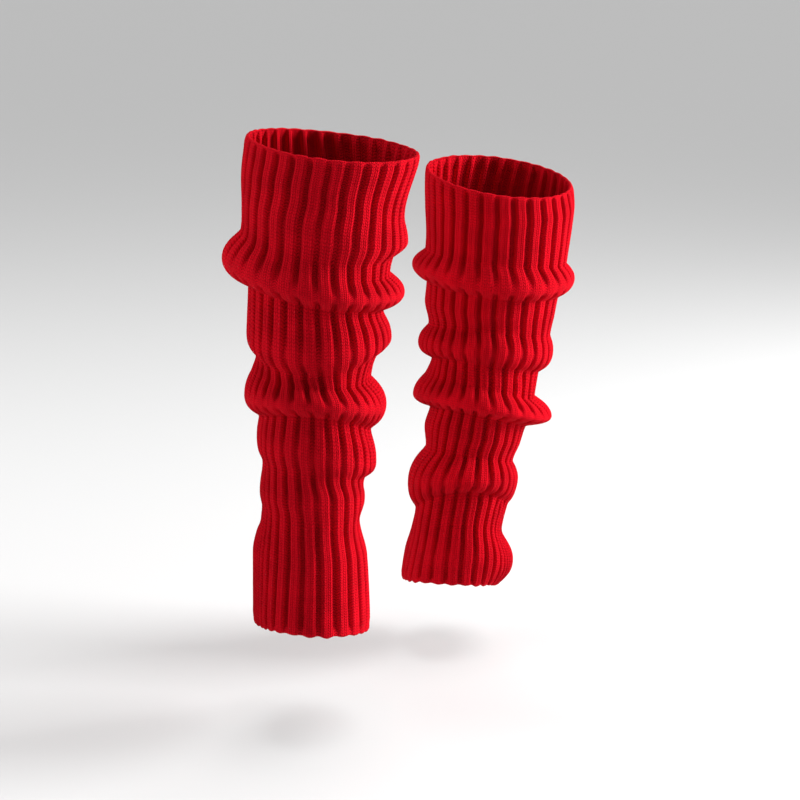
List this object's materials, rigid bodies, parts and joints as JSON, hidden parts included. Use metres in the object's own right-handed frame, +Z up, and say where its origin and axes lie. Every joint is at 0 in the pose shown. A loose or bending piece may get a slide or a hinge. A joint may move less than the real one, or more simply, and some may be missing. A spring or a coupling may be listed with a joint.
{
  "type": "pair of leg warmers",
  "caption": "Slouched leg warmers in wide vertical rib knit, each a seamless open tube, in the hollow form they take when worn between knee and ankle.",
  "frame": {"origin": "midway between the tubes, just below both rims, at the height where the calves hold them up", "axes": "+Z up along the legs; -Y is the way the wearer faces; +X is to the wearer's left"},
  "size_m": [0.2613, 0.3017, 0.3812],
  "materials": {
    "red_yarn": "soft matte acrylic rib knit with a slight halo"
  },
  "bodies": {
    "root": {"leg_warmer_right": "red_yarn", "leg_warmer_left": "red_yarn"}
  },
  "joints": []
}
